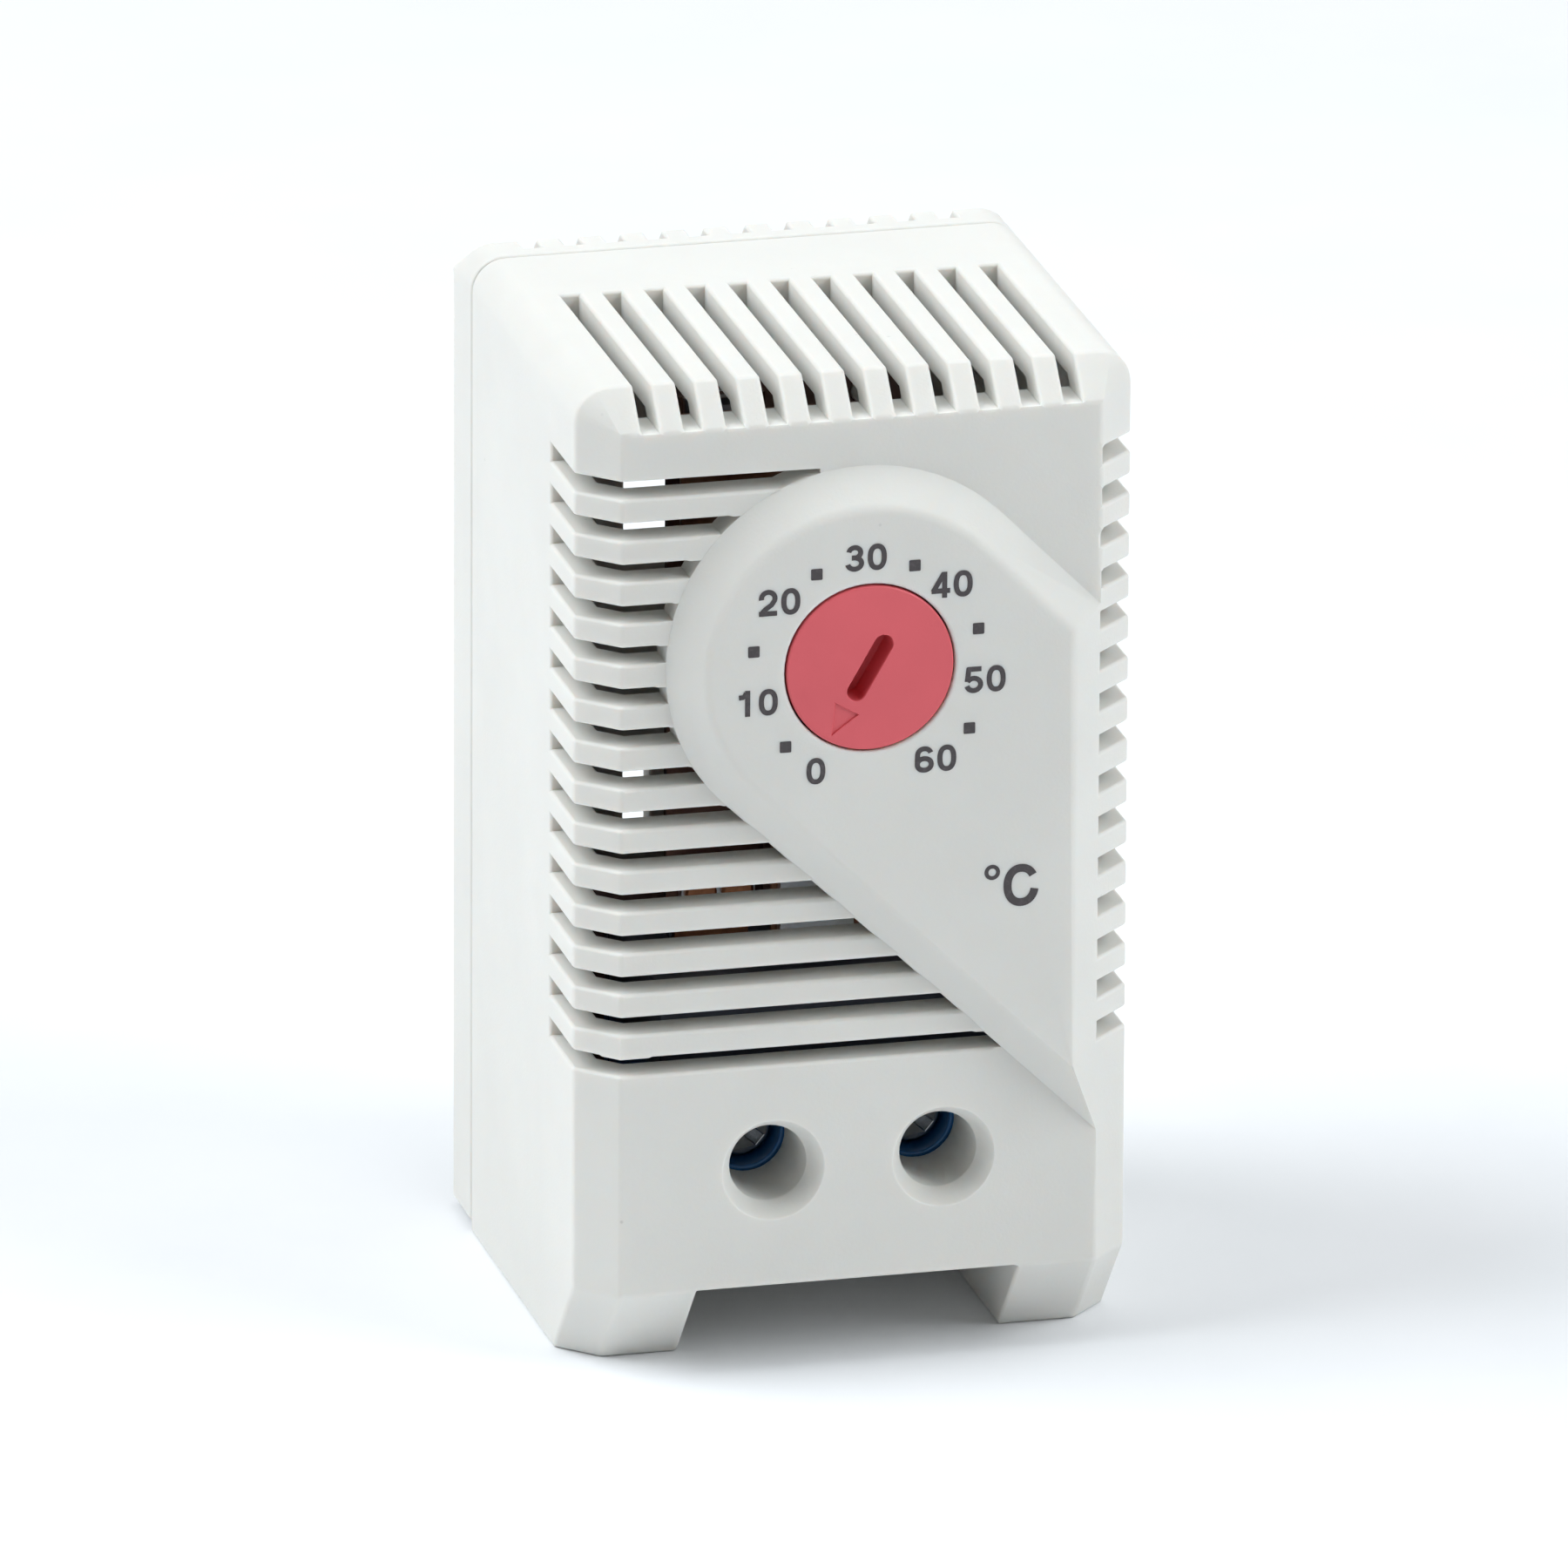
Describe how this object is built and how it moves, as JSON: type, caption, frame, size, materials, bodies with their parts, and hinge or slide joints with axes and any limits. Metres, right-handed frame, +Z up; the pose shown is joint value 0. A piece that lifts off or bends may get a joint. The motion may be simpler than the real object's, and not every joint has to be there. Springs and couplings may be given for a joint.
{
  "type": "din rail thermostat",
  "caption": "Small enclosure thermostat for a 35 mm rail: vented case, set-point dial, bimetal snap contact and two clamp terminals.",
  "frame": {"origin": "centre of the whole part's footprint, on the plane that the feet stand on", "axes": "+Z up, -Y out of the front with the dial, +Y to the back with the rail clip, +X to the right seen from the front"},
  "size_m": [0.033, 0.043, 0.06],
  "materials": {
    "shell": "light cool grey moulded plastic, fine satin grain",
    "dial_red": "coral red moulded plastic, satin",
    "block_blue": "dark blue moulded polyamide",
    "clip": "light grey polyamide",
    "phenolic": "brown moulded phenolic",
    "ceramic": "off-white ceramic",
    "steel": "zinc plated steel",
    "screw": "bright zinc plated steel",
    "brass": "spring bronze",
    "copper": "rolled copper alloy",
    "bimetal": "rolled bimetal, heat-tinted brown",
    "silver": "silver alloy",
    "ferrite": "sintered ferrite"
  },
  "bodies": {
    "case": {"front_housing": "shell", "rear_cover": "shell", "contact_base": "phenolic", "terminal_block": "block_blue", "terminal_block_cover": "block_blue", "terminal_bar_left": "copper", "terminal_bar_right": "copper", "bimetal_clamp": "steel", "bimetal_rivets": "copper", "spring_clamp": "steel", "spring_rivets": "copper", "clip_spring": "steel"},
    "dial": {"dial": "dial_red", "dial_washer": "steel", "dial_clip": "steel", "set_cam": "brass"},
    "contact_arm": {"contact_spring": "brass", "push_stud": "ceramic", "fixed_contact": "silver", "magnet": "ferrite"},
    "bimetal": {"bimetal_strip": "bimetal", "moving_contact": "silver", "armature": "steel"},
    "screw_left": {"clamp_screw_left": "screw"},
    "screw_right": {"clamp_screw_right": "screw"},
    "cage_left": {"clamp_cage_left": "steel"},
    "cage_right": {"clamp_cage_right": "steel"},
    "clip": {"rail_clip": "clip"}
  },
  "joints": [
    {"name": "dial_turn", "type": "hinge", "parent": "case", "child": "dial", "pos_m": [0, -0.0195, 0.0433], "axis": [0, 1, 0], "range_deg": [0, 300]},
    {"name": "contact_arm_flex", "type": "hinge", "parent": "case", "child": "contact_arm", "pos_m": [0, -0.00835, 0.025], "axis": [-1, 0, 0], "range_deg": [0, 2.4]},
    {"name": "bimetal_flex", "type": "hinge", "parent": "case", "child": "bimetal", "pos_m": [-0.00508, -0.0049, 0.025], "axis": [-1, 0, 0], "range_deg": [-2.4, 2.6], "stiffness_Nm_per_rad": 1.5},
    {"name": "screw_left_turn", "type": "hinge", "parent": "case", "child": "screw_left", "pos_m": [-0.00508, -0.01, 0.0124], "axis": [0, 1, 0], "range_deg": [0, 1656]},
    {"name": "screw_right_turn", "type": "hinge", "parent": "case", "child": "screw_right", "pos_m": [0.00508, -0.01, 0.0124], "axis": [0, 1, 0], "range_deg": [0, 1656]},
    {"name": "cage_left_slide", "type": "slide", "parent": "case", "child": "cage_left", "axis": [0, -1, 0], "range_m": [0, 0.0023]},
    {"name": "cage_right_slide", "type": "slide", "parent": "case", "child": "cage_right", "axis": [0, -1, 0], "range_m": [0, 0.0023]},
    {"name": "clip_slide", "type": "slide", "parent": "case", "child": "clip", "axis": [0, 0, -1], "range_m": [0, 0.003], "stiffness_N_per_m": 400, "springref_m": -0.002, "deforming": ["clip_spring"]}
  ],
  "couplings": [
    {"joint": "contact_arm_flex", "follows": "dial_turn", "ratio": 0.00795},
    {"joint": "cage_left_slide", "follows": "screw_left_turn", "m_per_rad": 0.00007957},
    {"joint": "cage_right_slide", "follows": "screw_right_turn", "m_per_rad": 0.00007957}
  ]
}
